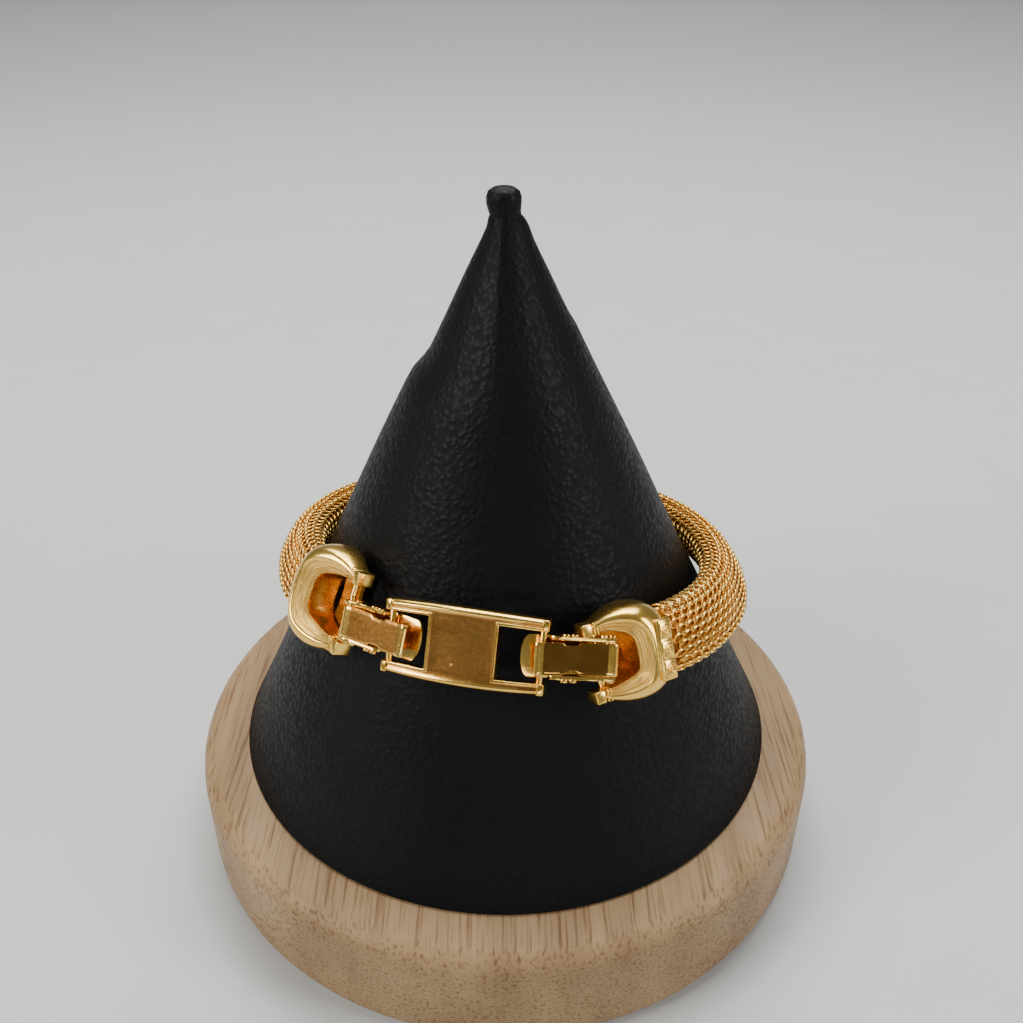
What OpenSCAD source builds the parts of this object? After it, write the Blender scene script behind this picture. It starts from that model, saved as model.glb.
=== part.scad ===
// Ring-mesh bracelet with cast end caps and a fold-over clasp, fastened round its
// leather-covered display cone on a bamboo disc. Front is -Y, up is +Z, and the
// origin is the middle of the disc's underside. Every clasp piece is drawn flat at a
// pin: x runs along the chain away from the centre plate, y points in to the cone and
// z runs up the lean.

/* [Stand] */
// Diameter of the bamboo disc
disc_d = 105; // [100:1:115]
// Thickness of the bamboo disc
disc_h = 18; // [14:1:24]
// Rounding of the disc's edges
disc_round = 3; // [1:0.5:5]
// Radius of the leather cone at the disc's top
cone_r = 44.9; // [44.4:0.1:45]
// Height at which the cone's slope would come to a point
cone_peak = 92.2; // [91.6:0.1:92.4]
// Height of the cone's shoulder above the disc
cone_top = 85.5; // [83:0.5:86]
// Diameter of the rolled leather nub on the tip
nub_d = 4.4; // [3.6:0.1:5]
// Height of the nub's top above the disc
nub_top = 90.3; // [88:0.1:93]

/* [Bracelet ring] */
// Half width of the ring, left to right, along the middle of the band
ring_a = 33.9; // [33.6:0.1:34.4]
// Half depth of the ring, front to back
ring_b = 36.2; // [36:0.1:36.6]
// Height of the ring's middle above the disc
ring_z = 31.2; // [30.8:0.1:31.6]
// Lean of the band and the clasp against the cone
lean = 29; // [27:0.5:31]
// Height of the mesh band, up its lean
band_h = 9.8; // [9.4:0.1:10.2]
// Thickness of the mesh band
band_t = 6.2; // [5.6:0.1:6.4]

/* [Clasp] */
// Length of the centre plate
plate_l = 22.6; // [22.2:0.1:23]
// Height of the centre plate at its ends
plate_w = 10; // [9.8:0.1:10.2]
// Thickness of the centre plate
plate_t = 1.8; // [1.6:0.1:2]
// Height of the windows in the plate
window_w = 6.9; // [6.8:0.1:7]
// Length of the panel between the windows
panel_l = 9.7; // [9.3:0.1:9.9]
// Height of a link's cover
cover_w = 4.4; // [4.2:0.1:4.4]
// Diameter of the clasp's pins
pin_d = 0.9; // [0.8:0.05:0.9]
// Height of an end cap
cap_w = 13.8; // [13.4:0.1:14.2]
// Depth of an end cap from outer to inner face
cap_t = 8; // [7.8:0.1:8.2]

/* [Hidden] */
$fn = 48;

// Ring path: an oval that is a little fuller at the front right than at the back left,
// and lower at the back, where the band has slipped down the cone.
ring_middle = [0.9, 2.4];
ring_skew = [0.033, 0.012];
ring_slope = [-0.043, -0.213];
function ring(az) =
    let (k = 1 + (cos(az) > 0 ? ring_skew[0] : ring_skew[1]) * sin(2 * az),
         x = ring_middle[0] + ring_a * k * sin(az),
         y = ring_middle[1] - ring_b * k * cos(az))
    [x, y, disc_h + ring_z + ring_slope[0] * x + ring_slope[1] * y];

// Azimuth of the ring point at a straight distance from another one, on the side of way.
function walk(az, dist, way, guess = 0, tries = 5) =
    tries == 0 ? az + way * guess
    : let (g = guess == 0 ? dist / ring_a * 57.3 : guess,
           d = norm(ring(az + way * g) - ring(az)))
      walk(az, dist, way, g + (dist - d) / ring_a * 57.3, tries - 1);

pin_to_plate_end = 0.8;
plate_pin_x = plate_l / 2 - pin_to_plate_end;
plate_az_left = -29.9;
plate_az_right = walk(plate_az_left, 2 * plate_pin_x, 1);
// A link's places along x, from the plate's pin: left link first, then the right link,
// which has slid less far through the plate's window.
cap_pin_x = [8.4, 7.6];
hinge_x = [7.2, 9.4];
tongue_x = [-4.4, -2.6];
cap_az_left = walk(plate_az_left, cap_pin_x[0], -1);
cap_az_right = walk(plate_az_right, cap_pin_x[1], 1);
cap_l = 11.4;
band_az_left = walk(cap_az_left, cap_l, -1);
band_az_right = walk(cap_az_right, cap_l, 1);

running = 0.15;
wall = 0.5;
pin_r = pin_d / 2;
bore_r = pin_r + 0.05;
hinge_y = -1;
hinge_pin_r = 0.35;
hinge_bore_r = 0.42;
barrel_r = 0.85;
cover_l = 10.9;
cover_t = 0.5;
side_in = cover_w / 2 + running;
side_out = side_in + wall;
floor_y = 0.85;
slot_play = [0.5, 0.95];
slot_r = pin_r + 0.24;
plate_sag_r = 45;
prong_gap = 7.6;

// How far each piece hangs below the ring path and stands outside it, left then right.
plate_drop = [0.4, 0.1];
link_drop = [0.5, 0.8];
cap_drop = [0.2, 1.3];
band_drop = [-0.3, 0];
cap_out = [0.6, 0];
band_out = [0.9, 0];
// Share of the turn round the cone that each piece follows with its lean.
plate_follow = 0.75;
link_follow = [0.8, 0.75];
cap_follow = [1.2, 0.75];

function unit(v) = v / norm(v);
function drop(d) = [0, 0, -d];
function up_at(turn) = [-sin(lean) * sin(turn), sin(lean) * cos(turn), cos(lean)];
function of_side(pair, side) = side < 0 ? pair[0] : pair[1];
function plate_az(side) = side < 0 ? plate_az_left : plate_az_right;
function cap_az(side) = side < 0 ? cap_az_left : cap_az_right;
function band_az(side) = side < 0 ? band_az_left : band_az_right;

// Places children at p with x along the chain towards q, y inwards and z up the lean.
// The left half of the clasp is the mirror image of the right half.
module at_pin(p, q, side, follow) {
    x = unit(q - p) * side;
    lean_up = up_at(follow * atan2(x[1], x[0]));
    z = unit(lean_up - x * (lean_up * x));
    y = cross(z, x);
    multmatrix([[x[0], y[0], z[0], p[0]], [x[1], y[1], z[1], p[1]], [x[2], y[2], z[2], p[2]]])
        mirror([side < 0 ? 1 : 0, 0, 0]) children();
}
function cap_pin_point(side, low) =
    let (az = cap_az(side)) ring(az) + of_side(cap_out, side) * [sin(az), -cos(az), 0] + drop(low);
function band_end_point(side) =
    let (az = band_az(side)) ring(az) + of_side(band_out, side) * [sin(az), -cos(az), 0]
        + drop(of_side(band_drop, side));
module at_plate() {
    left = ring(plate_az_left) + drop(plate_drop[0]);
    right = ring(plate_az_right) + drop(plate_drop[1]);
    at_pin((left + right) / 2, right, 1, plate_follow) children();
}
module at_link(side)
    at_pin(ring(plate_az(side)) + drop(of_side(plate_drop, side)),
        cap_pin_point(side, of_side(link_drop, side)), side, of_side(link_follow, side)) children();
module at_cap(side)
    at_pin(cap_pin_point(side, of_side(cap_drop, side)),
        band_end_point(side), side, of_side(cap_follow, side)) children();

module rod(r, h) cylinder(r = r, h = h, center = true);

// A slab between two y values, from an outline drawn in x and z.
module slab(y0, y1) translate([0, y1, 0]) rotate([90, 0, 0]) linear_extrude(y1 - y0) children();

module stand_disc() color("tan")
    rotate_extrude($fn = 96) intersection() {
        union() {
            square([disc_d / 2 - disc_round, disc_h]);
            translate([0, disc_round]) square([disc_d / 2, disc_h - 2 * disc_round]);
            for (z = [disc_round, disc_h - disc_round])
                translate([disc_d / 2 - disc_round, z]) circle(disc_round);
        }
        square([disc_d, disc_h]);
    }

// The leather ends in a small rolled nub, a little off the middle.
nub_offset = 0.5;
module stand_cone() color("#17171b") {
    shoulder_r = cone_r * (1 - cone_top / cone_peak);
    translate([0, 0, disc_h + 0.05]) union() {
        cylinder(r1 = cone_r, r2 = shoulder_r, h = cone_top, $fn = 96);
        translate([nub_offset, 0, cone_top - 1])
            cylinder(d = nub_d, h = nub_top - cone_top + 1 - nub_d / 2);
        translate([nub_offset, 0, nub_top - nub_d / 2]) sphere(d = nub_d);
    }
}

// Flattened round section of the band and the sweep along the ring.
band_squareness = 2 / 2.6;
band_sides = 24;
band_steps = 72;
// Clearance between the band's ends and the caps, left then right, in degrees of azimuth.
band_gap_az = [1.5, 2.2];
function bulge(v) = sign(v) * pow(abs(v), band_squareness);
function band_ring(az, next_az) =
    let (p = ring(az), d = ring(next_az) - p, turn = atan2(d[1], d[0]),
         out = [cos(lean) * sin(turn), -cos(lean) * cos(turn), sin(lean)],
         up = [-sin(lean) * sin(turn), sin(lean) * cos(turn), cos(lean)])
    [for (j = [0:band_sides - 1])
        let (a = 360 * j / band_sides)
        p + out * bulge(cos(a)) * band_t / 2 + up * bulge(sin(a)) * band_h / 2];
module mesh_band() color("goldenrod") {
    az_a = band_az_right + band_gap_az[1];
    az_b = 360 + band_az_left - band_gap_az[0];
    step = (az_b - az_a) / band_steps;
    points = [for (i = [0:band_steps])
        each band_ring(az_a + i * step - 0.01, az_a + i * step + 0.01)];
    faces = concat(
        [[for (j = [0:band_sides - 1]) j]],
        [[for (j = [0:band_sides - 1]) band_steps * band_sides + band_sides - 1 - j]],
        [for (i = [0:band_steps - 1]) for (j = [0:band_sides - 1])
            let (k = (j + 1) % band_sides, a = i * band_sides, b = a + band_sides)
            [a + j, b + j, b + k, a + k]]);
    polyhedron(points, faces);
}

// Half height of an end cap along its length, from prong tips to the band, for a cap of
// the height and depth below.
cap_drawn = [14.8, 8];
cap_outline = [[-1.2, 5], [-0.8, 5.3], [0.4, 6], [2, 6.8], [4, 7.3], [6.2, 7.4],
    [8, 7.1], [9.6, 6.4], [10.8, 5.5], [11.3, 4.7]];
// Outer and inner depth of an end cap along its length.
cap_depth = [[-1.2, -1.1, 1.2], [-0.8, -1.2, 1.4], [1.2, -1.4, 1.8], [3.2, -2.5, 2.6],
    [5, -3.8, 3.1], [6.8, -4.2, 3.3], [8.6, -3.9, 3.1], [10.2, -3.3, 2.6], [11.3, -2.7, 2.2]];
module cap_shape() {
    n = len(cap_outline);
    intersection() {
        slab(-cap_t, cap_t) scale([1, cap_w / cap_drawn[0]]) polygon(concat(cap_outline,
            [for (i = [n - 1:-1:0]) [cap_outline[i][0], -cap_outline[i][1]]]));
        linear_extrude(2 * cap_w, center = true) scale([1, cap_t / cap_drawn[1]]) polygon(concat(
            [for (row = cap_depth) [row[0], row[1]]],
            [for (i = [len(cap_depth) - 1:-1:0]) [cap_depth[i][0], cap_depth[i][2]]]));
    }
}
// The recess between the prongs is open to the clasp and outwards, and has a floor.
module cap_body() difference() {
    cap_shape();
    slab(-cap_t, 1.9) polygon([[-3, -prong_gap / 2], [1.4, -prong_gap / 2], [5.2, -2.6],
        [5.2, 2.6], [1.4, prong_gap / 2], [-3, prong_gap / 2]]);
    slab(0, cap_t) polygon([[-3, -prong_gap / 2], [1.4, -prong_gap / 2],
        [1.4, prong_gap / 2], [-3, prong_gap / 2]]);
    rod(bore_r, prong_gap + 1.8);
}
// The raised oblong badge: a rounded bar with three plain domes.
badge_x = 8.7;
badge_pitch = 2.4;
module badge() {
    slab(-4.25, -3) hull() for (z = [-1, 1]) translate([badge_x, z * (badge_pitch + 0.5)])
        circle(1.25, $fn = 32);
    for (k = [-1:1]) translate([badge_x, -4.1, k * badge_pitch]) sphere(r = 0.7, $fn = 24);
}

module cap_left() color("gold") at_cap(-1) cap_body();
module cap_right() color("gold") at_cap(1) union() {
    cap_body();
    badge();
}

module centre_plate() color("#c98a3a") at_plate() difference() {
    mid_y = sqrt(plate_sag_r * plate_sag_r - plate_pin_x * plate_pin_x);
    half = plate_l / 2;
    crown = 0.35;
    intersection() {
        linear_extrude(2 * plate_w, center = true) translate([0, mid_y]) difference() {
            circle(plate_sag_r + plate_t / 2, $fn = 180);
            circle(plate_sag_r - plate_t / 2, $fn = 180);
        }
        slab(-cap_t, cap_t) difference() {
            polygon([[-half, -plate_w / 2], [-half * 0.5, -plate_w / 2 - crown * 0.75],
                [0, -plate_w / 2 - crown], [half * 0.5, -plate_w / 2 - crown * 0.75],
                [half, -plate_w / 2], [half, plate_w / 2],
                [half * 0.5, plate_w / 2 + crown * 0.75], [0, plate_w / 2 + crown],
                [-half * 0.5, plate_w / 2 + crown * 0.75], [-half, plate_w / 2]]);
            for (s = [-1, 1]) translate([s * (panel_l / 2 + half), 0])
                square([plate_l, window_w], center = true);
        }
    }
    for (s = [-1, 1]) translate([s * plate_pin_x, 0, 0]) rod(bore_r, window_w + 2);
}
module plate_pin(side) color("gold") at_plate()
    translate([side * plate_pin_x, 0, 0]) rod(pin_r, window_w + 1.8);
module cap_pin(side) color("gold") at_cap(side) rod(pin_r, prong_gap + 1.6);

// Inner leaf: a floor with a rounded tongue, and two side walls with small nubs. The
// walls are slotted for the cap's pin, which follows the cone's lean more than the link.
module link_base(side) color("gold") at_link(side) difference() {
    pin_x = of_side(cap_pin_x, side);
    hinge = of_side(hinge_x, side);
    tongue = of_side(tongue_x, side);
    play = of_side(slot_play, side);
    end = max(pin_x + play, hinge) + 0.9;
    union() {
        slab(floor_y, floor_y + wall) {
            translate([tongue + 1.2, 0]) scale([1.2 / side_out, 1]) circle(side_out);
            translate([tongue + 1.2, -side_out]) square([end - tongue - 1.4, 2 * side_out]);
        }
        for (s = [-1, 1]) translate([0, 0, s * (side_in + wall / 2)])
            linear_extrude(wall, center = true) polygon([[1.2, floor_y + 0.1], [1.2, -0.4],
                [1.8, -0.9], [hinge - 0.9, hinge_y - 0.3], [hinge - 0.4, hinge_y - 0.6],
                [hinge + 0.4, hinge_y - 0.6], [max(hinge + 0.6, end - 0.4), -0.8], [end, 0],
                [end - 0.4, floor_y + 0.1]]);
        for (s = [-1, 1], x = [max(hinge - 6.4, 1.9), max(hinge - 5.2, 3.1), hinge - 1.2, hinge])
            translate([x, hinge_y + 0.2, s * (side_out + 0.1)]) rod(0.5, 0.4);
    }
    for (s = [-1, 1]) translate([pin_x + s * play, 0, 0]) rod(slot_r, 3 * side_out);
    cube_at([pin_x, 0, 0], [2 * play, 2 * slot_r, 3 * side_out]);
    translate([hinge, hinge_y, 0]) rod(hinge_bore_r, 2 * side_out);
}
module cube_at(p, size) translate(p) cube(size, center = true);
module cover_pin(side) color("gold") at_link(side)
    translate([of_side(hinge_x, side), hinge_y, 0]) rod(hinge_pin_r, 2 * side_out - 0.1);

// Cover lever: a plate with waist notches, a barrel round its pin and a rolled free end.
roll_r = 0.7;
module link_cover(side) color("#b8791f") at_link(side)
    translate([of_side(hinge_x, side), hinge_y, 0]) difference() {
    union() {
        slab(-barrel_r, cover_t - barrel_r) difference() {
            translate([roll_r - cover_l, -cover_w / 2]) square([cover_l - roll_r, cover_w]);
            for (s = [-1, 1]) translate([-5.8, s * cover_w / 2]) square([2.4, 0.7], center = true);
        }
        rod(barrel_r, cover_w);
        translate([roll_r - cover_l, roll_r - barrel_r, 0])
            linear_extrude(cover_w, center = true) intersection() {
                difference() {
                    circle(roll_r);
                    circle(roll_r - cover_t);
                }
                translate([-2, -2]) square([2, 2]);
            }
        cube_at([cover_t / 2 - cover_l, roll_r - barrel_r + 0.3, 0], [cover_t, 0.6, cover_w]);
    }
    rod(hinge_bore_r, 2 * cover_w);
}

stand_disc();
stand_cone();
mesh_band();
cap_left();
cap_right();
cap_pin(-1);  // cap_pin_left
cap_pin(1);  // cap_pin_right
centre_plate();
plate_pin(-1);  // plate_pin_left
plate_pin(1);  // plate_pin_right
link_base(-1);  // link_base_left
link_base(1);  // link_base_right
cover_pin(-1);  // cover_pin_left
cover_pin(1);  // cover_pin_right
link_cover(-1);  // link_cover_left
link_cover(1);  // link_cover_right
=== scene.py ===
# %% [markdown]
# A ring-mesh bracelet, fastened round its leather-covered display cone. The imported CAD
# model is loaded first: it fixes every size and place, and each piece made below either
# stands for one of its nodes or gives that node its finish. All lengths are drawn in
# millimetres and brought to metres when a piece is finished, because Blender's tools
# work badly on parts of a ten-thousandth of a metre.

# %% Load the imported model
import bpy, math
from mathutils import Matrix, Vector


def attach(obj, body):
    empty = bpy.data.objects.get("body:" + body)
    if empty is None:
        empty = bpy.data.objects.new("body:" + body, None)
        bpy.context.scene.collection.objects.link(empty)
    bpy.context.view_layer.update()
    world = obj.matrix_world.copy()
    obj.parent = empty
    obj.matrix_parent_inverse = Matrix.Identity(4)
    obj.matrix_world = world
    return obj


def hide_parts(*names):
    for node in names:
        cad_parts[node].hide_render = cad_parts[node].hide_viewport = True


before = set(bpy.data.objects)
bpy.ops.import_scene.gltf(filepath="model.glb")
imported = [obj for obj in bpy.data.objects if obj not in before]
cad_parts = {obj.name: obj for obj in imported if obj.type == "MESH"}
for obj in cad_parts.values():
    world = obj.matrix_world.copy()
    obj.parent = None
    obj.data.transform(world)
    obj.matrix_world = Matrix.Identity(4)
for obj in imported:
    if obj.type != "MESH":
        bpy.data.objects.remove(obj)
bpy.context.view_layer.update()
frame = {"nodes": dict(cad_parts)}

bpy.ops.object.select_all(action="DESELECT")
print("nodes:", ", ".join(frame["nodes"]))

# %% [markdown]
# The camera looks down on the clasp from just in front of the cone. Its place was found
# by fitting the cone's two sides and the disc's edge to the picture, which is square.

# %% Camera
CAMERA_AT, TILT, YAW, LENS, SENSOR = (0, -0.13837, 0.14225), 58.6, -0.42, 36.03, 36
bpy.ops.object.camera_add(location=CAMERA_AT,
                          rotation=(math.radians(TILT), 0, math.radians(YAW)))
camera = bpy.context.object
camera.name = "camera"
camera.data.lens = LENS
camera.data.sensor_width = SENSOR
camera.data.clip_start = 0.005
bpy.context.scene.camera = camera
print("camera at", tuple(round(v, 4) for v in camera.location))

# %% [markdown]
# The clasp is drawn flat and then set round the cone, just as the CAD does it. The loop
# is an oval that sinks towards the back. From it come the azimuths of the clasp's pins,
# and from each pair of pins a frame: x along the chain away from the plate, y in to the
# cone and z up the lean.

# %% The loop and the places on it
MM = 0.001
DISC_H, LEAN = 18, math.radians(29)
RING_A, RING_B, RING_Z = 33.9, 36.2, 31.2
MIDDLE_X, MIDDLE_Y = 0.9, 2.4
SLOPE_X, SLOPE_Y = -0.043, -0.213
SKEW_FRONT, SKEW_BACK = 0.033, 0.012


def loop_point(az):
    """The loop's point at an azimuth, counted from the front towards the right."""
    a = math.radians(az)
    k = 1 + (SKEW_FRONT if math.cos(a) > 0 else SKEW_BACK) * math.sin(2 * a)
    x, y = MIDDLE_X + RING_A * k * math.sin(a), MIDDLE_Y - RING_B * k * math.cos(a)
    return Vector((x, y, DISC_H + RING_Z + SLOPE_X * x + SLOPE_Y * y))


def walk(az, length, way):
    """The azimuth a straight length further on; each round mends the step."""
    step = math.degrees(length / RING_A)
    for _ in range(5):
        reach = (loop_point(az + way * step) - loop_point(az)).length
        step += math.degrees((length - reach) / RING_A)
    return az + way * step


LEFT, RIGHT = -1, 1
PLATE_LEFT_AZ, PLATE_PIN_X, CAP_L = -29.9, 10.5, 11.4
CAP_PIN_X = {LEFT: 8.4, RIGHT: 7.6}
HINGE_X = {LEFT: 7.2, RIGHT: 9.4}
plate_az = {LEFT: PLATE_LEFT_AZ, RIGHT: walk(PLATE_LEFT_AZ, 2 * PLATE_PIN_X, 1)}
cap_az = {s: walk(plate_az[s], CAP_PIN_X[s], s) for s in (LEFT, RIGHT)}
band_az = {s: walk(cap_az[s], CAP_L, s) for s in (LEFT, RIGHT)}
print("azimuths:", plate_az, cap_az, band_az)

# %% Frames at the pins


def low(d):
    return Vector((0, 0, -d))


def outwards(az, d):
    a = math.radians(az)
    return Vector((math.sin(a), -math.cos(a), 0)) * d


def frame_at(p, q, side, follow):
    """The frame at p with its x towards q; follow says how far the lean turns with x."""
    x = (q - p).normalized() * side
    turn = follow * math.atan2(x.y, x.x)
    up = Vector((-math.sin(LEAN) * math.sin(turn), math.sin(LEAN) * math.cos(turn),
                 math.cos(LEAN)))
    z = (up - x * up.dot(x)).normalized()
    y = z.cross(x)
    place = Matrix((x, y, z)).transposed().to_4x4()
    place.translation = p
    return Matrix.Scale(MM, 4) @ place @ Matrix.Diagonal((side, 1, 1, 1))


# How far the pieces hang below the loop and stand out from it, and follow its turn.
PLATE_DROP, LINK_DROP = {LEFT: 0.4, RIGHT: 0.1}, {LEFT: 0.5, RIGHT: 0.8}
CAP_DROP, BAND_DROP = {LEFT: 0.2, RIGHT: 1.3}, {LEFT: -0.3, RIGHT: 0}
CAP_OUT, BAND_OUT = {LEFT: 0.6, RIGHT: 0}, {LEFT: 0.9, RIGHT: 0}
PLATE_FOLLOW, LINK_FOLLOW, CAP_FOLLOW = 0.75, {LEFT: 0.8, RIGHT: 0.75}, {LEFT: 1.2, RIGHT: 0.75}
plate_end = {side: loop_point(plate_az[side]) + low(PLATE_DROP[side]) for side in (LEFT, RIGHT)}
plate_middle = (plate_end[LEFT] + plate_end[RIGHT]) / 2
AT_PLATE = frame_at(plate_middle, plate_end[RIGHT], RIGHT, PLATE_FOLLOW)
AT_LINK, AT_CAP = {}, {}
for side in (LEFT, RIGHT):
    pin = loop_point(cap_az[side]) + outwards(cap_az[side], CAP_OUT[side])
    band = (loop_point(band_az[side]) + outwards(band_az[side], BAND_OUT[side])
            + low(BAND_DROP[side]))
    AT_LINK[side] = frame_at(plate_end[side], pin + low(LINK_DROP[side]), side,
                             LINK_FOLLOW[side])
    AT_CAP[side] = frame_at(pin + low(CAP_DROP[side]), band, side, CAP_FOLLOW[side])
    print("cap pin", side, AT_CAP[side].translation)

# %% [markdown]
# Most pieces start as a flat grid whose points are moved to their places. The first
# helper keeps the grid's own UV map, so a finish such as file marks can run along the
# piece.

# %% Helpers


def grid(name, columns, rows, shape):
    """Adds a grid and moves the point in column i and row j to shape(i, j)."""
    bpy.ops.mesh.primitive_grid_add(x_subdivisions=columns - 1, y_subdivisions=rows - 1, size=1)
    piece = bpy.context.object
    piece.name = piece.data.name = name
    for v in piece.data.vertices:
        i, j = round((v.co.x + 0.5) * (columns - 1)), round((v.co.y + 0.5) * (rows - 1))
        v.co = shape(i, j)
    return piece


def choose(piece):
    """Makes one piece the active one and the only one selected."""
    bpy.ops.object.select_all(action="DESELECT")
    piece.select_set(True)
    bpy.context.view_layer.objects.active = piece


def edit(piece, *steps):
    """Runs edit-mode steps on all of one piece."""
    choose(piece)
    bpy.ops.object.mode_set(mode="EDIT")
    bpy.ops.mesh.select_all(action="SELECT")
    for step in steps:
        step()
    bpy.ops.object.mode_set(mode="OBJECT")


def coat(piece, *materials):
    for material in materials:
        piece.data.materials.append(material)


def merge():
    bpy.ops.mesh.remove_doubles(threshold=0.001)


def face_out():
    bpy.ops.mesh.normals_make_consistent(inside=False)


def close_holes():
    bpy.ops.mesh.select_all(action="DESELECT")
    bpy.ops.mesh.select_non_manifold(extend=False, use_wire=False, use_multi_face=False,
                                     use_non_contiguous=False, use_verts=False)
    bpy.ops.mesh.fill_holes(sides=0)
    bpy.ops.mesh.select_all(action="SELECT")


def modify(piece, kind, **settings):
    """Adds a modifier with its settings and applies it."""
    modifier = piece.modifiers.new(kind.lower(), kind)
    for key, value in settings.items():
        setattr(modifier, key, value)
    choose(piece)
    bpy.ops.object.modifier_apply(modifier=modifier.name)


def join(pieces, name):
    """Makes several pieces one object."""
    choose(pieces[0])
    for piece in pieces:
        piece.select_set(True)
    bpy.ops.object.join()
    whole = bpy.context.view_layer.objects.active
    whole.name = whole.data.name = name
    return whole


def finish(piece, place, body, slot, *nodes, smooth=180):
    """Sets a piece in its frame, puts it on its body and hides the CAD nodes it stands for."""
    choose(piece)
    bpy.ops.object.transform_apply(location=True, rotation=True, scale=True)
    piece.data.transform(place)
    if place.determinant() < 0:
        piece.data.flip_normals()
    bpy.ops.object.shade_smooth_by_angle(angle=math.radians(smooth))
    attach(piece, body)
    if nodes:
        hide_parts(*nodes)
    piece.select_set(False)
    print(piece.name, "has", sum(len(f.vertices) - 2 for f in piece.data.polygons), "triangles")


IN_MM = Matrix.Scale(MM, 4)
print("helpers for pieces ready")

# %% [markdown]
# Every finish is a node material that reads Object coordinates or the piece's own UV
# map. A small helper adds a node and links it, so that each material below reads as a
# short list of what the surface has: colour, gloss and relief.

# %% Material helpers


def new_material(name, **sockets):
    material = bpy.data.materials.new(name)
    material.use_nodes = True
    shader = material.node_tree.nodes["Principled BSDF"]
    for key, value in sockets.items():
        shader.inputs[key.replace("_", " ")].default_value = value
    return material


def node(material, kind, inputs=None, **settings):
    made = material.node_tree.nodes.new(kind)
    for key, value in settings.items():
        setattr(made, key, value)
    for key, value in (inputs or {}).items():
        if isinstance(value, bpy.types.NodeSocket):
            material.node_tree.links.new(value, made.inputs[key])
        else:
            made.inputs[key].default_value = value
    return made


def link(material, output, name):
    shader = material.node_tree.nodes["Principled BSDF"]
    material.node_tree.links.new(output, shader.inputs[name])


def coords(material, scale=(1, 1, 1), source="Object"):
    start = node(material, "ShaderNodeTexCoord").outputs[source]
    return node(material, "ShaderNodeMapping", {"Vector": start, "Scale": scale}).outputs[0]


def noise(material, vector, scale, detail=2, roughness=0.5):
    return node(material, "ShaderNodeTexNoise",
                {"Vector": vector, "Scale": scale, "Detail": detail,
                 "Roughness": roughness}).outputs["Fac"]


def ramp(material, fac, *stops):
    """A colour ramp from (position, colour) stops; one number alone is a grey."""
    made = node(material, "ShaderNodeValToRGB", {"Fac": fac})
    while len(made.color_ramp.elements) < len(stops):
        made.color_ramp.elements.new(0.5)
    for element, (at, colour) in zip(made.color_ramp.elements, stops):
        element.position = at
        element.color = (*colour, 1) if len(colour) == 3 else (colour[0],) * 3 + (1,)
    return made.outputs["Color"]


def bump(material, height, depth, strength=1, under=None):
    inputs = {"Height": height, "Distance": depth, "Strength": strength}
    if under:
        inputs["Normal"] = under
    return node(material, "ShaderNodeBump", inputs).outputs["Normal"]


print("helpers for materials ready")

# %% [markdown]
# The gold is a thin plated layer: its colour is almost even, and what tells polished
# from brushed is the roughness. A polished casting still has soft waves and a few
# smudges, which break up its reflections. The file marks on the inner slope of each cap
# run along the prong, so they follow the UV map.

# %% Gold finishes
SMUDGES, GRAIN = 260, 2600


def gold(name, colour, dark, gloss, wave, wave_size=900):
    """A plated gold: colours, range of roughness, depth and size of its soft waves."""
    material = new_material(name, Metallic=1)
    place = coords(material)
    blotch = noise(material, place, SMUDGES, 4, 0.6)
    link(material, ramp(material, blotch, (0.38, dark), (0.58, colour)), "Base Color")
    fine = noise(material, place, GRAIN, 5, 0.7)
    link(material, ramp(material, fine, (0.3, (gloss[0],)), (0.75, (gloss[1],))), "Roughness")
    relief = noise(material, place, wave_size, 2)
    link(material, bump(material, relief, wave, 0.5), "Normal")
    return material


cast_gold = gold("cast_gold", (1.0, 0.67, 0.16), (0.95, 0.57, 0.11), gloss=(0.16, 0.3),
                 wave=0.00008, wave_size=420)
ring_gold = gold("ring_gold", (1.0, 0.66, 0.17), (0.95, 0.54, 0.1), gloss=(0.18, 0.32),
                 wave=0.00002, wave_size=2200)
# A darker, coppery copy of the gold for the flat sheet faces: a painted dark reflection of the dim
# room, not a different plating.
sheet_painted_reflection = gold("sheet_painted_reflection", (0.66, 0.32, 0.08), (0.52, 0.23, 0.05), gloss=(0.18, 0.3),
                  wave=0.00003, wave_size=700)
# A still darker copy for the right cover alone: a painted dark reflection, since both covers have
# the same real plating.
cover_painted_dark_reflection = gold("cover_painted_dark_reflection", (0.5, 0.27, 0.06), (0.4, 0.2, 0.04), gloss=(0.06, 0.12),
                   wave=0.00001, wave_size=500)
pin_gold = gold("pin_gold", (1.0, 0.65, 0.16), (0.92, 0.54, 0.1), gloss=(0.12, 0.24),
                wave=0.00002)
# A darker, more orange copy of the cast gold for the caps' recesses: painted shade and dark
# reflection, not a different metal.
recess_painted_shade = gold("recess_painted_shade", (0.95, 0.5, 0.1), (0.7, 0.32, 0.05), gloss=(0.22, 0.36),
                 wave=0.00005, wave_size=500)
print("golds made")

# %% Brushed gold
MARKS_ALONG, MARKS_ACROSS, MARK_DEPTH = 1.1, 13, 0.0005
brushed_gold = gold("brushed_gold", (1.0, 0.65, 0.16), (0.92, 0.54, 0.1), gloss=(0.28, 0.45),
                    wave=0.00003)
along = coords(brushed_gold, (MARKS_ALONG, MARKS_ACROSS, 1), "UV")
marks = noise(brushed_gold, along, 3, 4, 0.6)
link(brushed_gold, bump(brushed_gold, marks, MARK_DEPTH, 1), "Normal")
filed = ramp(brushed_gold, marks, (0.36, (0.62, 0.33, 0.05)), (0.6, (1.0, 0.68, 0.19)))
link(brushed_gold, filed, "Base Color")
print("brushed gold made")

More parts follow.
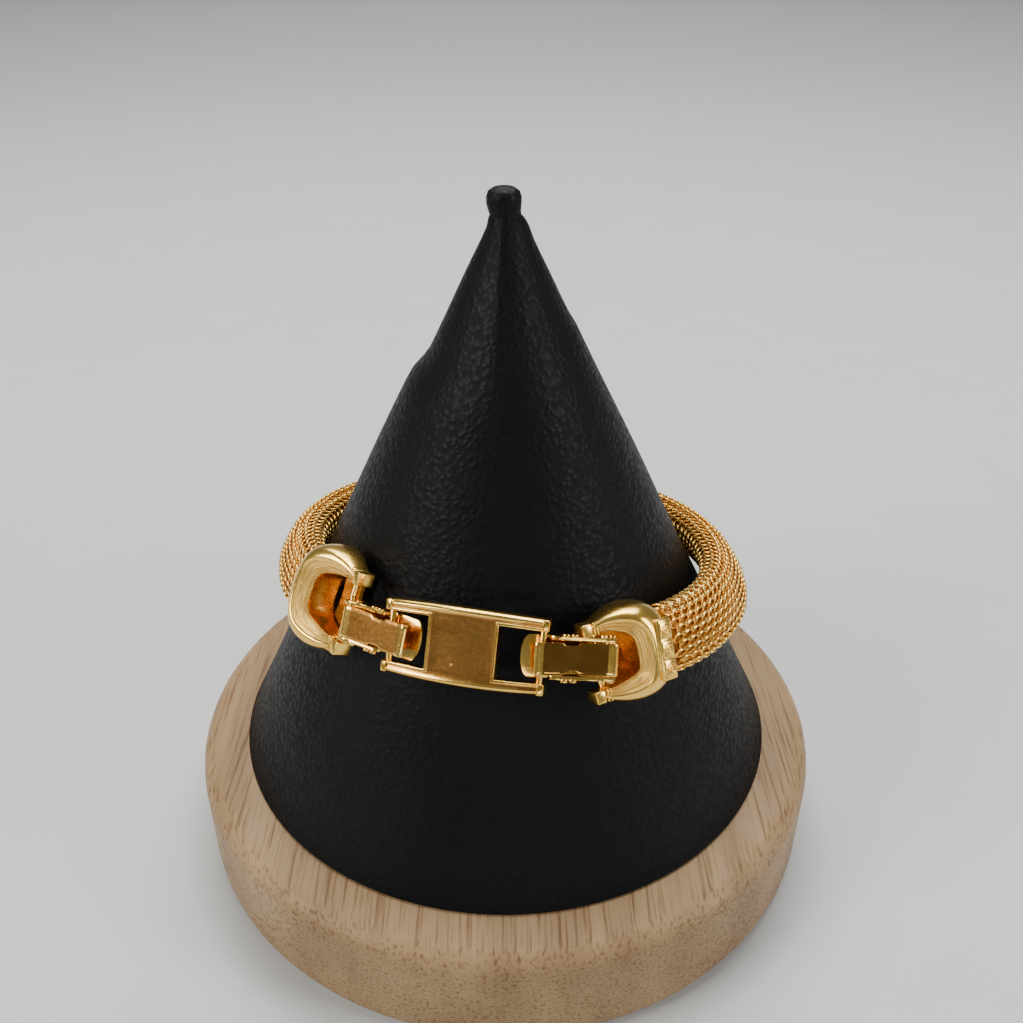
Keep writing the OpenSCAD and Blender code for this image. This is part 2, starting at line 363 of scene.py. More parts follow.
# %% [markdown]
# Behind the rings of a woven sleeve hardly any light comes back out. A dull, dark red-brown core
# inside the rings is painted shade: it gives the gaps that depth at the cost of a few faces.

# %% Dark core
painted_shade_core = new_material("painted_shade_core", Metallic=1, Roughness=0.55)
spots = noise(painted_shade_core, coords(painted_shade_core), 1400, 2)
# The dark red-brown is painted shade for the gaps between the rings, not the colour of a real part.
shade_colour = ramp(painted_shade_core, spots, (0.35, (0.22, 0.08, 0.015)), (0.7, (0.42, 0.18, 0.04)))
link(painted_shade_core, shade_colour, "Base Color")
print("core made")

# %% [markdown]
# Black leather has small raised cells with fine creases between them. A smooth Voronoi
# pattern, pushed about by noise so that no two cells are alike, gives the pebbles, and
# a finer noise the skin on them. It stays a little glossy on the pebbles' tops.

# %% Black leather
PEBBLE_SCALE, DRIFT_SCALE, DRIFT_WAY, SKIN_SCALE = 1150, 340, 0.0011, 3400
PEBBLE_DEPTH, SKIN_DEPTH = 0.00013, 0.00002
leather = new_material("leather", Specular_IOR_Level=0.13)
place = coords(leather)
drift = node(leather, "ShaderNodeTexNoise",
             {"Vector": place, "Scale": DRIFT_SCALE, "Detail": 2}).outputs["Color"]
pushed = node(leather, "ShaderNodeVectorMath", {0: drift, "Scale": DRIFT_WAY},
              operation="SCALE").outputs[0]
warped = node(leather, "ShaderNodeVectorMath", {0: place, 1: pushed}).outputs[0]
cells = node(leather, "ShaderNodeTexVoronoi",
             {"Vector": warped, "Scale": PEBBLE_SCALE, "Smoothness": 0.5},
             feature="SMOOTH_F1").outputs["Distance"]
pebbles = ramp(leather, cells, (0.1, (1,)), (0.75, (0,)))
skin = bump(leather, noise(leather, place, SKIN_SCALE, 3), SKIN_DEPTH, 0.35)
link(leather, bump(leather, pebbles, PEBBLE_DEPTH, 0.6, skin), "Normal")
link(leather, ramp(leather, pebbles, (0.1, (0.6,)), (0.9, (0.4,))), "Roughness")
tone = noise(leather, place, 38, 4, 0.6)
black = ramp(leather, tone, (0.3, (0.0018, 0.002, 0.0026)), (0.75, (0.004, 0.0044, 0.0055)))
link(leather, black, "Base Color")
print("leather made")

# %% [markdown]
# The disc is cut from one piece of laminated bamboo. Its fibres run from front to back,
# so they are long thin lines on the top and small dots where the rim cuts across them.
# One stretched three-dimensional pattern shows both, because it goes right through.

# %% Bamboo
bamboo = new_material("bamboo_wood", Specular_IOR_Level=0.3)
FIBRE_SCALE, STRIP_SCALE = 2100, 150
fibre = noise(bamboo, coords(bamboo, (1, 0.03, 1)), FIBRE_SCALE, 3, 0.6)
broad = noise(bamboo, coords(bamboo, (1, 0.05, 0.6)), STRIP_SCALE, 3, 0.5)
light = ramp(bamboo, broad, (0.3, (0.25, 0.155, 0.075)), (0.7, (0.36, 0.235, 0.12)))
dark = ramp(bamboo, fibre, (0.33, (0.4, 0.28, 0.18)), (0.5, (1, 1, 1)))
# Inputs 6 and 7 and output 2 are the Mix node's colour sockets.
wood = node(bamboo, "ShaderNodeMix", {"Factor": 0.75, 6: light, 7: dark}, data_type="RGBA",
            blend_type="MULTIPLY").outputs[2]
link(bamboo, wood, "Base Color")
link(bamboo, ramp(bamboo, fibre, (0.3, (0.62,)), (0.6, (0.46,))), "Roughness")
link(bamboo, bump(bamboo, fibre, 0.00006, 0.4), "Normal")
print("bamboo made")

# %% [markdown]
# The disc is turned: a circle is drawn up, drawn out and rounded at its edges. Each
# step of the profile is one extrude and one resize about the axis, which is how a
# turned shape is made by hand from a circle. The cone is made with the same helper,
# with a soft step on its way up and the small rolled nub at the tip.

# %% Turned shapes


def turned(name, sides, profile):
    """Makes a closed solid from (radius, height) pairs, lowest first."""
    radius, height = profile[0]
    bpy.ops.mesh.primitive_circle_add(vertices=sides, radius=radius, location=(0, 0, 0),
                                      fill_type="NGON")
    piece = bpy.context.object
    piece.name = piece.data.name = name
    bpy.ops.object.mode_set(mode="EDIT")
    bpy.ops.mesh.select_all(action="SELECT")
    bpy.ops.transform.translate(value=(0, 0, height))
    for next_radius, next_height in profile[1:]:
        rise = (0, 0, next_height - height)
        bpy.ops.mesh.extrude_region_move(TRANSFORM_OT_translate={"value": rise})
        k = next_radius / radius
        bpy.ops.transform.resize(value=(k, k, 1), center_override=(0, 0, next_height))
        radius, height = next_radius, next_height
    bpy.ops.object.mode_set(mode="OBJECT")
    edit(piece, face_out)
    return piece


DISC_R, ROUND = 52.5, 3
turns = [math.radians(a) for a in range(0, 91, 15)]
corner = [(DISC_R - ROUND + ROUND * math.sin(a), ROUND - ROUND * math.cos(a)) for a in turns]
disc = turned("bamboo_disc", 160, corner + [(r, DISC_H - z) for r, z in reversed(corner)])
coat(disc, bamboo)
finish(disc, IN_MM, "root", "bamboo", "stand_disc", smooth=40)

# %% [markdown]
# The leather isn't quite taut. A step high on the left and a slight one on the right
# pull it in towards the tip, and a faint long wave runs round the whole flank.

# %% Leather cone
CONE_R, CONE_PEAK = 44.9, 92.2
FLANK_FROM, FLANK_H, FLANK_STEPS = 2, 83, 46
# The nub at the tip: radius, height above the disc
NUB = [(3.1, 85.7), (2.75, 86.2), (2.35, 86.6), (2.3, 87.3), (2.4, 88.2), (2.4, 89),
       (2.15, 89.7), (1.5, 90.15), (0.4, 90.3)]


def cone_radius(z):
    return CONE_R * (1 - z / CONE_PEAK)


heights = [0.4, 1.2]
heights += [FLANK_FROM + FLANK_H * k / FLANK_STEPS for k in range(FLANK_STEPS + 1)]
cone_profile = [(cone_radius(0) - 0.5, 0.05)] + [(cone_radius(z), z) for z in heights] + NUB
cone = turned("leather_cone", 128, [(r, z + DISC_H) for r, z in cone_profile])


def ease(t):
    t = min(1, max(0, t))
    return t * t * (3 - 2 * t)


def fold(z, depth, start, rise, end, fall):
    return depth * ease((z - start) / rise) * ease((end - z) / fall)


# depth, height where it starts, rise over, height where it ends, fall over
LEFT_STEP = (1.2, 62.5, 4.5, 88, 3.5)
RIGHT_STEP = (0.35, 71, 2, 86, 4)
WAVE, WAVE_TURN = (0.07, 0, 10, 84, 6), 0.21
for v in cone.data.vertices:
    z, az = v.co.z - DISC_H, math.atan2(v.co.y, v.co.x)
    left, right = max(0, -math.cos(az + 0.15)) ** 0.7, max(0, math.cos(az + 0.1)) ** 2
    pull = fold(z, *LEFT_STEP) * left + fold(z, *RIGHT_STEP) * right
    pull += fold(z, *WAVE) * math.sin(z * WAVE_TURN + 2 * az)
    r = math.hypot(v.co.x, v.co.y)
    v.co.x, v.co.y = v.co.x * (1 - pull / r), v.co.y * (1 - pull / r)
coat(cone, leather)
finish(cone, IN_MM, "root", "black_leather", "stand_cone", smooth=60)

# %% [markdown]
# The sleeve is woven from small wire rings that lie like scales: each ring is tipped,
# so that its upper edge stands out over the one above. One ring is modelled, repeated
# along a straight row by an Array, and the rows are set round the sleeve's section,
# every second one half a step further on. The straight sleeve is then bent round the
# loop by a Curve modifier, which also crowds the rings on the inside of the bend.

# %% The band's path
# How far each end of the band is tucked into its cap, in degrees of azimuth.
TUCK_AZ = 1.6
first_az, last_az = band_az[RIGHT] - TUCK_AZ, 360 + band_az[LEFT] + TUCK_AZ
PATH_POINTS = 240
path_data = bpy.data.curves.new("band_path", "CURVE")
path_data.dimensions = "3D"
path_data.twist_mode = "Z_UP"
path_data.use_deform_bounds = False
spline = path_data.splines.new("POLY")
spline.points.add(PATH_POINTS - 1)
band_length, before = 0, None
for k, point in enumerate(spline.points):
    here = loop_point(first_az + (last_az - first_az) * k / (PATH_POINTS - 1))
    point.co = (*here, 1)
    band_length += (here - before).length if before else 0
    before = here
band_path = bpy.data.objects.new("band_path", path_data)
bpy.context.scene.collection.objects.link(band_path)
print("band length", round(band_length, 1), "mm")

# %% The sleeve's section
# The section is an oval that is a little squared; SQUARE 1 would be a plain ellipse.
BAND_H, BAND_T, SQUARE = 9.8, 6.2, 2 / 2.6
FINE = 1440


def section(angle, inset=0):
    """A point of the section and its outward normal, in (y, z), y in to the cone."""
    def at(a):
        c, s = math.cos(a), math.sin(a)
        out = math.copysign(abs(c) ** SQUARE, c) * (BAND_T / 2 - inset)
        up = math.copysign(abs(s) ** SQUARE, s) * (BAND_H / 2 - inset)
        return Vector((-out * math.cos(LEAN) + up * math.sin(LEAN),
                       out * math.sin(LEAN) + up * math.cos(LEAN)))
    ahead, behind = at(angle + 0.01), at(angle - 0.01)
    along = (ahead - behind).normalized()
    return at(angle), Vector((-along.y, along.x))


def even_angles(count, inset):
    """Angles whose points lie evenly spaced round the section, and its girth."""
    fine = [2 * math.pi * k / FINE for k in range(FINE + 1)]
    points = [section(a, inset)[0] for a in fine]
    total, marks = 0, [0]
    for a, b in zip(points, points[1:]):
        total += (b - a).length
        marks.append(total)
    picked, k = [], 0
    for n in range(count):
        while marks[k] < total * n / count:
            k += 1
        picked.append(fine[k])
    return picked, total


# %% One ring, one row, one sleeve
RING_ROWS, RINGS, INSET = 22, 92, 0.55
RING_R, WIRE_R, RING_STRETCH, TIP = 0.75, 0.18, 1.16, math.radians(30)
angles, girth = even_angles(RING_ROWS, INSET)
pitch = (band_length - 2 * RING_R) / RINGS
print("girth", round(girth, 1), "mm, ring pitch", round(pitch, 2), "mm")

sleeves = []
for half, name in enumerate(("ring_mesh_upper", "ring_mesh_lower")):
    rows = []
    for n in range(half * RING_ROWS // 2, (half + 1) * RING_ROWS // 2):
        at, normal = section(angles[n], INSET)
        bpy.ops.mesh.primitive_torus_add(major_segments=14, minor_segments=6, major_radius=RING_R,
                                         minor_radius=WIRE_R, location=(0, 0, 0))
        row = bpy.context.object
        row.data.transform(Matrix.Diagonal((RING_STRETCH, 1, 1, 1)))
        turn = math.atan2(normal.y, normal.x) - math.pi / 2
        row.data.transform(Matrix.Rotation(turn + TIP, 4, "X"))
        shift = RING_R + (pitch / 2 if n % 2 else 0)
        row.data.transform(Matrix.Translation((shift, at.x, at.y)))
        modify(row, "ARRAY", count=RINGS, use_relative_offset=False, use_constant_offset=True,
               constant_offset_displace=(pitch, 0, 0))
        rows.append(row)
    sleeve = join(rows, name)
    modify(sleeve, "CURVE", object=band_path, deform_axis="POS_X")
    coat(sleeve, ring_gold)
    sleeves.append(sleeve)
print("rows made:", RING_ROWS)

# %% The painted-shade core inside the rings
CORE_STEPS, CORE_SIDES, CORE_INSET = 120, 24, 0.75


def core_point(i, j):
    at, _ = section(2 * math.pi * j / CORE_SIDES, CORE_INSET)
    return Vector((band_length * i / CORE_STEPS, at.x, at.y))


core = grid("mesh_painted_shade_core", CORE_STEPS + 1, CORE_SIDES + 1, core_point)
edit(core, merge, close_holes, face_out)
modify(core, "CURVE", object=band_path, deform_axis="POS_X")
coat(core, painted_shade_core)
for piece in sleeves + [core]:
    finish(piece, IN_MM, "root", "gold_mesh", "mesh_band")
bpy.data.objects.remove(band_path)

# %% [markdown]
# Each end cap is one casting shaped like a horseshoe: convex outside, with a ridge that
# runs round it, a filed slope down from the ridge and a deep recess between the prongs.
# It is lofted: at nine places from a prong's tip to the middle of the nose the outer
# edge, the ridge and the recess edge are given, and a closed profile is drawn through
# them. A Subdivision modifier then rounds the casting, and close lines keep the ridge
# and the recess edge crisp.

# %% The cap's stations
# outer x, z | ridge x, z | recess x, z | ridge depth, recess depth, inner depth
CAP_HALF = [
    (-1.0, 4.75, -1.0, 4.4, -1.0, 3.85, -1.3, -1.15, 1.2),
    (0.4, 5.6, 0.5, 4.85, 0.5, 3.85, -1.6, -1.2, 1.6),
    (2.0, 6.3, 2.2, 5.15, 2.0, 3.75, -2.3, -1.4, 2.0),
    (4.0, 6.8, 4.3, 5.0, 3.6, 3.3, -3.3, -1.8, 2.7),
    (6.2, 6.8, 6.0, 4.4, 4.8, 2.85, -4.0, -2.3, 3.0),
    (8.0, 6.3, 7.0, 3.5, 5.4, 2.2, -4.2, -2.7, 2.9),
    (9.6, 5.4, 7.5, 2.5, 5.6, 1.5, -4.25, -2.8, 2.5),
    (10.9, 3.7, 7.75, 1.3, 5.65, 0.8, -4.25, -2.8, 2.1),
    (11.4, 0, 7.85, 0, 5.65, 0, -4.25, -2.8, 2.1)]
CAP_STATIONS = [(1, row) for row in CAP_HALF] + [(-1, row) for row in reversed(CAP_HALF[:-1])]
# How far the ridge and the recess reach along each cap, against the places above.
REACH = {LEFT: 0.11, RIGHT: -0.14}
SHOULDER_Y = -0.3


def mix(a, b, t):
    return a + (b - a) * t


def cap_profile(side, up, row):
    """The closed profile at one station, as points (x, y, z)."""
    ox, oz, gx, gz, rx, rz, gy, ry, iy = row
    gx += REACH[side] * max(0, gx)
    rx += REACH[side] * max(0, rx)

    def outer_to_recess(t, y):
        return mix(ox, rx, t), y, mix(oz, rz, t)

    def outer_to_ridge(t, y):
        return mix(ox, gx, t), y, mix(oz, gz, t)

    def ridge_to_recess(t, y):
        return mix(gx, rx, t), y, mix(gz, rz, t)

    shape = [outer_to_recess(0.85, iy), outer_to_recess(0.12, iy),
             (ox, iy * 0.55, oz), (ox, SHOULDER_Y, oz),
             outer_to_ridge(0.22, mix(SHOULDER_Y, gy, 0.72)),
             outer_to_ridge(0.68, mix(SHOULDER_Y, gy, 0.97)),
             (gx, gy, gz), ridge_to_recess(0.07, gy + 0.1),
             ridge_to_recess(0.5, mix(gy, ry, 0.66)), ridge_to_recess(0.94, mix(gy, ry, 0.97)),
             (rx, ry + 0.05, rz), (rx, ry + 0.5, rz), (rx, 1.2, rz), (rx, iy, rz)]
    return [Vector((x, y, z * up)) for x, y, z in shape]


cap_rings = {side: [cap_profile(side, up, row) for up, row in CAP_STATIONS]
             for side in (LEFT, RIGHT)}
PROFILE = len(cap_rings[LEFT][0])
RIDGE_ROW, EDGE_ROW, WALL_ROW = 7, 10, 13
print("cap cage:", len(cap_rings[LEFT]), "stations of", PROFILE, "points")

# %% [markdown]
# Small rounded blocks end the prongs like the turned knuckles of a hinge. A bowed sheet
# closes the recess, and the badge is a framed oblong with a plain motif of three domes.

# %% Prong tips, floor and badge
# The knuckle blocks of a prong, from its tip inwards: x, length, depth, width
KNUCKLES = ((-1.15, 1.4, 2.7, 1.7), (-0.1, 0.35, 2.8, 1.75), (0.4, 0.35, 2.8, 1.85))
KNUCKLE_Y, PRONG_Z, KNUCKLE_ROUND = -0.1, 4.55, 0.17
FLOOR_X, FLOOR_L, FLOOR_Y, FLOOR_BOW = 1.5, 4.1, 1.9, 0.25
FLOOR_HALF_W, FLOOR_TAPER, FLOOR_T = 3.9, 0.28, 0.6
BADGE, BADGE_CELL, CELL_PITCH = (2.5, 0.9, 8.4), (1.9, 0.3, 2.3), 2.55
BADGE_AT, BADGE_SLOPE, BADGE_TURN = (8.35, -4.0, -0.3), math.radians(9), math.radians(4)
HOOP_R, HOOP_WIRE, DOME_R = 0.68, 0.12, 0.4


def block(name, size, at, round_off):
    """A small rounded block, centred at a place."""
    bpy.ops.mesh.primitive_cube_add(size=1, location=(0, 0, 0))
    piece = bpy.context.object
    piece.name = name
    edit(piece, lambda: bpy.ops.transform.resize(value=size),
         lambda: bpy.ops.mesh.bevel(offset=round_off, segments=3, affect="EDGES"))
    piece.data.transform(Matrix.Translation(at))
    return piece


def knuckles():
    """The blocks at both prong tips: a wide one and two narrow ones, with grooves."""
    return [block("knuckle", size, (x, KNUCKLE_Y, up * PRONG_Z), KNUCKLE_ROUND)
            for up in (-1, 1) for x, *size in KNUCKLES]


def cap_floor():
    """The sheet that closes the recess, narrower towards the nose."""
    return grid("floor", 6, 7, lambda i, j: Vector((
        FLOOR_X + FLOOR_L * i / 5, FLOOR_Y + FLOOR_BOW * math.cos(math.pi * (j / 6 - 0.5)),
        (FLOOR_HALF_W - FLOOR_TAPER * i) * (j / 3 - 1))))


def badge():
    """A raised oblong with three framed domes, tipped to lie on the nose's slope."""
    made = [block("badge_plate", BADGE, (0, 0, 0), 0.35)]
    for z in (-CELL_PITCH, 0, CELL_PITCH):
        made.append(block("badge_cell", BADGE_CELL, (0, -0.45, z), 0.14))
        bpy.ops.mesh.primitive_torus_add(major_segments=28, minor_segments=8,
                                         major_radius=HOOP_R, minor_radius=HOOP_WIRE,
                                         location=(0, -0.6, z), rotation=(math.pi / 2, 0, 0))
        made.append(bpy.context.object)
        bpy.ops.mesh.primitive_uv_sphere_add(segments=24, ring_count=12, radius=DOME_R,
                                             location=(0, -0.55, z))
        made.append(bpy.context.object)
    place = (Matrix.Translation(BADGE_AT) @ Matrix.Rotation(BADGE_SLOPE, 4, "Z")
             @ Matrix.Rotation(BADGE_TURN, 4, "Y"))
    for part in made:
        choose(part)
        bpy.ops.object.transform_apply(location=True, rotation=True, scale=True)
        part.data.transform(place)
    return made


print("cap details ready")

# %% Loft the caps
# The left cap stands taller above the clasp than the right one: it is stretched
# upwards from its lower edge.
LEFT_TALLER, LEFT_FOOT = 0.14, -6.6
# Places of the brushed gold and of the darker gold that paints shade into the recess, in a cap's
# list of materials.
BRUSHED, RECESS_SHADE = 1, 2
for side in (LEFT, RIGHT):
    name = "end_cap_left" if side == LEFT else "end_cap_right"
    rings = cap_rings[side]
    piece = grid(name, len(rings), PROFILE + 1, lambda i, j: rings[i][j % PROFILE])
    edit(piece, merge, close_holes, face_out)
    coat(piece, cast_gold, brushed_gold, recess_painted_shade)
    uvs = piece.data.uv_layers.active.data
    # The recess edge and wall faces get the darker gold: painted shade in the recess.
    for face in piece.data.polygons:
        row = PROFILE * sum(uvs[k].uv.y for k in face.loop_indices) / face.loop_total
        if len(face.vertices) == 4 and RIDGE_ROW < row < EDGE_ROW:
            face.material_index = BRUSHED
        elif len(face.vertices) == 4 and EDGE_ROW < row < WALL_ROW:
            face.material_index = RECESS_SHADE
    modify(piece, "SUBSURF", levels=3, render_levels=3)
    floor = cap_floor()
    coat(floor, cast_gold, brushed_gold, recess_painted_shade)
    # The recess floor is all in the darker gold: painted shade.
    for face in floor.data.polygons:
        face.material_index = RECESS_SHADE
    modify(floor, "SOLIDIFY", thickness=FLOOR_T)
    details = knuckles() + (badge() if side == RIGHT else [])
    for part in details:
        coat(part, cast_gold)
    piece = join([piece, floor] + details, name)
    if side == LEFT:
        for v in piece.data.vertices:
            v.co.z += LEFT_TALLER * (v.co.z - LEFT_FOOT)
    finish(piece, AT_CAP[side], "root", "polished_gold", name.replace("end_", ""), smooth=42)

# %% [markdown]
# The centre plate is a flat H with a window at each end. A grid is drawn with its lines
# where the real edges are, the windows' cells are deleted, the rims round them are
# raised by a small extrude, and the sheet is given its thickness and bevels. Last it is
# curved to a radius a little wider than the loop's.

# %% Centre plate
PLATE_L, PLATE_W, PLATE_T, WINDOW_W, PANEL_L = 22.6, 10, 1.8, 6.9, 9.7
SAG_R, CROWN, RIM = 45, 0.35, 0.4
DISH, INNER_DISH, INNER_L, INNER_W = -0.14, -0.1, 6.6, 5
# Height of the arms' grid lines above the plate, from the outer edge inwards
RIM_LINES = (-0.6, -0.15, 0.06, -0.06)
half_l, half_p, half_w = PLATE_L / 2, PANEL_L / 2, WINDOW_W / 2
xs_half = [0, 1.6, 3.2, half_p - RIM, half_p, half_p + RIM, 6.6, 8, 9.3, 10.1, half_l]
zs_half = [0, 1, 2, half_w - RIM, half_w, half_w + RIM, 4.2, 4.45, 4.75, PLATE_W / 2]
plate_xs = [-v for v in reversed(xs_half[1:])] + xs_half
plate_zs = [-v for v in reversed(zs_half[1:])] + zs_half


def plate_point(i, j):
    x, z = plate_xs[i], plate_zs[j]
    edge = abs(z) / (PLATE_W / 2)
    crown = CROWN * (1 - (x / half_l) ** 2) * edge ** 2
    line = min(j, len(plate_zs) - 1 - j)
    inner = abs(x) < INNER_L / 2 and abs(z) < INNER_W / 2
    height = RIM_LINES[line] if line < len(RIM_LINES) else DISH + (INNER_DISH if inner else 0)
    return Vector((x, z + math.copysign(crown, z) if z else 0, height))


def pick(piece, test):
    """Selects the faces whose centre passes a test, in edit mode."""
    bpy.ops.mesh.select_all(action="DESELECT")
    bpy.ops.object.mode_set(mode="OBJECT")
    for face in piece.data.polygons:
        face.select = test(face.center)
    bpy.ops.object.mode_set(mode="EDIT")


plate = grid("centre_plate_dressed", len(plate_xs), len(plate_zs), plate_point)
edit(plate, lambda: bpy.ops.mesh.select_mode(type="FACE"),
     lambda: pick(plate, lambda c: abs(c.x) > half_p and abs(c.y) < half_w),
     lambda: bpy.ops.mesh.delete(type="FACE"))
print("plate grid:", len(plate.data.polygons), "faces")

# %% Plate thickness, rims and bevels
RIM_H, EDGE_R = 0.22, 0.12


def extrude_up(height):
    bpy.ops.mesh.extrude_region_move(TRANSFORM_OT_translate={"value": (0, 0, height)})


edit(plate, lambda: pick(plate, lambda c: True), lambda: extrude_up(-PLATE_T),
     lambda: bpy.ops.transform.resize(value=(1, 1, 0), center_override=(0, 0, -PLATE_T)),
     lambda: bpy.ops.mesh.select_all(action="SELECT"), face_out)


def on_rim(c):
    beside = abs(c.x) > half_p - RIM and half_w < abs(c.y) < half_w + RIM
    across = half_p - RIM < abs(c.x) < half_p and abs(c.y) < half_w + RIM
    return c.z > -0.5 and (beside or across)


edit(plate, lambda: pick(plate, on_rim), lambda: extrude_up(RIM_H))
modify(plate, "BEVEL", width=EDGE_R, segments=3, limit_method="ANGLE",
       angle_limit=math.radians(35))
# The dished faces of the plate get the darker copy, a painted dark reflection; the raised rims,
# outer edges and sides keep the true gold colour.
coat(plate, sheet_painted_reflection, pin_gold)
for face in plate.data.polygons:
    bright = face.center.z > -0.01 or abs(face.center.y) > 4.4 or abs(face.normal.z) < 0.5
    face.material_index = 1 if bright and face.center.z > -PLATE_T + 0.1 else 0
print("plate:", len(plate.data.vertices), "points")

# %% Dimple, arm-end blocks and the plate's curve
DIMPLE_R, DIMPLE_AT = 0.3, (-1.1, -2.4, -0.1)
ARM_END, ARM_END_ROUND = (0.9, 1.5, 2.1), 0.2
bpy.ops.mesh.primitive_uv_sphere_add(segments=24, ring_count=12, radius=DIMPLE_R,
                                     location=DIMPLE_AT)
dimple = bpy.context.object
modify(plate, "BOOLEAN", object=dimple, operation="DIFFERENCE")
bpy.data.objects.remove(dimple)
blocks = []
for end in (-1, 1):
    for up in (-1, 1):
        at = (end * (half_l - 0.4), up * (half_w + 0.8), -PLATE_T / 2 + 0.05)
        blocks.append(block("arm_end", ARM_END, at, ARM_END_ROUND))
        coat(blocks[-1], pin_gold)
plate = join([plate] + blocks, "centre_plate_dressed")
for v in plate.data.vertices:
    x, out = v.co.x, v.co.z + PLATE_T / 2
    sag = math.sqrt(SAG_R ** 2 - PLATE_PIN_X ** 2) - math.sqrt(SAG_R ** 2 - x ** 2)
    v.co = Vector((x, sag - out, v.co.y))
edit(plate, face_out)
finish(plate, AT_PLATE, "root", "plate_gold", "centre_plate", smooth=40)

# %% [markdown]
# The covers are bent from one strip: a flat lever whose free end rolls down and whose
# other end wraps round the hinge pin, with a notch in each side halfway along. The
# strip's middle line is walked point by point and the width is narrowed at the notches,
# then Solidify gives the sheet its thickness and Bevel its soft edges.

# %% Link covers
COVER_W, COVER_T, COVER_L, ROLL_R, BARREL_R = 4.4, 0.5, 10.9, 0.7, 0.85
HINGE_Y, ROLL_TO, BARREL_FROM, FLAT_STEPS = -1, 0.55, -0.75, 32
ROLL_ARC, BARREL_ARC = range(200, 269, 17), range(-105, 151, 15)


def arc(degrees, radius, x, y):
    """Points of an arc about (x, y)."""
    return [(x + radius * math.cos(math.radians(a)), y + radius * math.sin(math.radians(a)))
            for a in degrees]


def cover_line():
    """Middle line of the strip from the free end to the barrel, as (x, y)."""
    r_end, r_hinge = ROLL_R - COVER_T / 2, BARREL_R - COVER_T / 2 + 0.1
    flat_y = -(BARREL_R - COVER_T / 2)
    start = -COVER_L + ROLL_R + ROLL_TO
    flat = [(mix(start, BARREL_FROM, k / FLAT_STEPS), flat_y) for k in range(FLAT_STEPS + 1)]
    rolled_end = arc(ROLL_ARC, r_end, -COVER_L + ROLL_R, flat_y - 0.1 + r_end)
    return rolled_end + flat + arc(BARREL_ARC, r_hinge, 0, 0)


strip = cover_line()
NOTCH_X, NOTCH_L, NOTCH_D, ACROSS = -5.8, 2.4, 0.38, 9


def cover_point(i, j):
    """The strip's point: place i along its middle line, place j across it."""
    x, y = strip[i]
    notch = max(0, 1 - (abs(x - NOTCH_X) / (NOTCH_L / 2)) ** 6)
    half = COVER_W / 2 - 0.05 - NOTCH_D * notch
    return Vector((x, y, half * (2 * j / (ACROSS - 1) - 1)))


SHARP = 0.07
for side in (LEFT, RIGHT):
    name = "link_cover_left" if side == LEFT else "link_cover_right"
    cover = grid("strip_" + name, len(strip), ACROSS, cover_point)
    modify(cover, "SOLIDIFY", thickness=COVER_T - 0.04, offset=0)
    modify(cover, "BEVEL", width=SHARP, segments=2, limit_method="ANGLE",
           angle_limit=math.radians(50))
    edit(cover, face_out)
    # The flat of each cover gets a darker copy of the gold, a painted dark reflection, darker still
    # on the right cover; the rolled ends and side edges keep the true gold colour.
    coat(cover, sheet_painted_reflection if side == LEFT else cover_painted_dark_reflection, pin_gold)
    for face in cover.data.polygons:
        x = face.center.x
        rolled = x < -COVER_L + ROLL_R + ROLL_TO or x > BARREL_FROM
        face.material_index = 1 if rolled or abs(face.normal.z) > 0.5 else 0
    hinge = Matrix.Translation((HINGE_X[side], HINGE_Y, 0))
    finish(cover, AT_LINK[side] @ hinge, name.replace("link_", ""), "cover_gold", name, smooth=35)

# %% [markdown]
# The link bases and the pins already have their true shape in the CAD. Each is copied,
# its loose triangles are merged, and a fine Bevel breaks the sharp edges, because it is
# the thin bright line along an edge that makes metal read as metal.

# %% Bases and pins
for node_name in frame["nodes"]:
    if not ("pin" in node_name or "link_base" in node_name) or node_name == "cap_pin_left":
        continue
    source = bpy.data.objects[node_name]
    piece = bpy.data.objects.new("bright_" + node_name, source.data.copy())
    bpy.context.scene.collection.objects.link(piece)
    piece.data.transform(Matrix.Scale(1 / MM, 4))
    piece.data.materials.clear()
    edit(piece, merge, lambda: bpy.ops.mesh.dissolve_limited(angle_limit=math.radians(1)))
    modify(piece, "BEVEL", width=SHARP, segments=2, limit_method="ANGLE",
           angle_limit=math.radians(40))
    coat(piece, pin_gold)
    finish(piece, IN_MM, "root", "pin_gold", node_name, smooth=35)

# %% [markdown]
# The left cap was made taller than its CAD solid, so its pin is drawn anew, long enough
# to end inside both prongs.

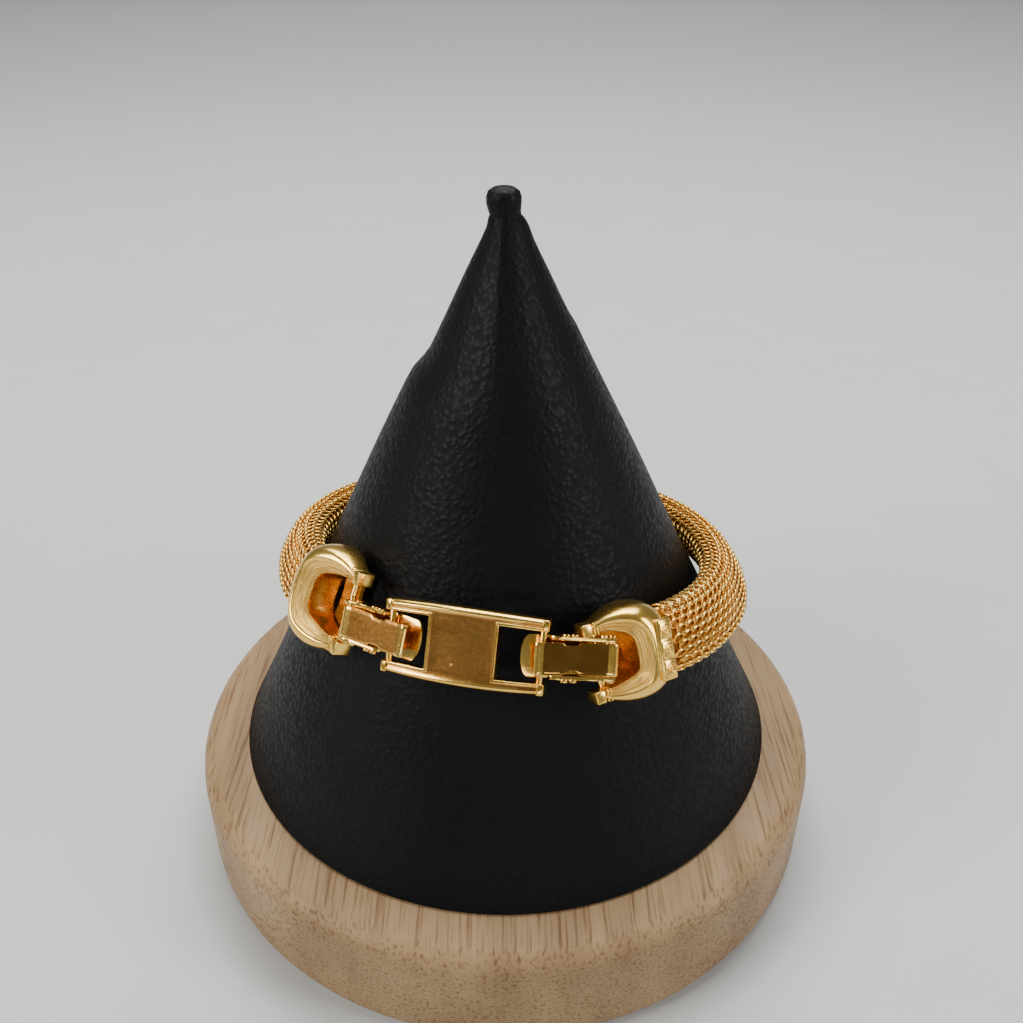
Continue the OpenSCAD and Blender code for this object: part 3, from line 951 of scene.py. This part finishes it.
# %% The left cap's pin
PIN_R, LONG_PIN_L, LONG_PIN_Z = 0.45, 10.9, 0.7
bpy.ops.mesh.primitive_cylinder_add(vertices=32, radius=PIN_R, depth=LONG_PIN_L,
                                    location=(0, 0, LONG_PIN_Z))
long_pin = bpy.context.object
long_pin.name = "bright_cap_pin_left"
modify(long_pin, "BEVEL", width=0.1, segments=3, limit_method="ANGLE",
       angle_limit=math.radians(40))
coat(long_pin, pin_gold)
finish(long_pin, AT_CAP[LEFT], "root", "pin_gold", "cap_pin_left", smooth=35)

# %% [markdown]
# The set is a pale floor and soft lamps: a wide one overhead, a large one from the left
# front, a weaker one from the right, a low strip in front for a glint on the clasp, and
# one behind that lifts the floor there. The room itself stays fairly dim, so that the
# flat plate, which mirrors what is in front of it, keeps its copper tone.

# %% Floor
bpy.ops.mesh.primitive_plane_add(size=8, location=(0, 0, 0))
floor = bpy.context.object
floor.name = "pale_floor"
pale = new_material("pale_paper", Roughness=0.9, Specular_IOR_Level=0.1)
paper = noise(pale, coords(pale), 60, 3)
link(pale, ramp(pale, paper, (0.3, (0.58, 0.585, 0.575)), (0.7, (0.6, 0.605, 0.595))), "Base Color")
coat(floor, pale)

# %% Lamps and room
AIM = (0, 0, 0.05)
WARM, WINDOW = (1, 0.97, 0.9), (1, 0.98, 0.94)


def lamp(name, at, aim, size, power, tint=(1, 1, 1)):
    """A soft rectangular lamp, turned towards its aim."""
    bpy.ops.object.light_add(type="AREA", location=at)
    made = bpy.context.object
    made.name = name
    made.data.shape = "RECTANGLE"
    made.data.size, made.data.size_y = size
    made.data.energy = power
    made.data.color = tint
    made.rotation_euler = (Vector(aim) - Vector(at)).to_track_quat("-Z", "Y").to_euler()


lamp("overhead", (0.05, 0.25, 0.8), (0, 0, 0.04), (0.6, 0.4), 7)
lamp("left_window", (-0.62, -0.3, 0.5), AIM, (0.3, 0.45), 5, WINDOW)
lamp("right_fill", (0.6, -0.25, 0.35), AIM, (0.15, 0.35), 2.2)
lamp("back_wash", (0, 1.3, 1.4), (0, 1.1, 0), (1.6, 0.8), 14)
lamp("low_front", (0.1, -0.7, 0.16), AIM, (0.5, 0.06), 0.5, WARM)
world = bpy.data.worlds.new("room")
world.use_nodes = True
sky = world.node_tree.nodes["Background"]
sky.inputs["Color"].default_value = (0.95, 0.97, 1, 1)
sky.inputs["Strength"].default_value = 0.2
bpy.context.scene.world = world
print("lamps set")
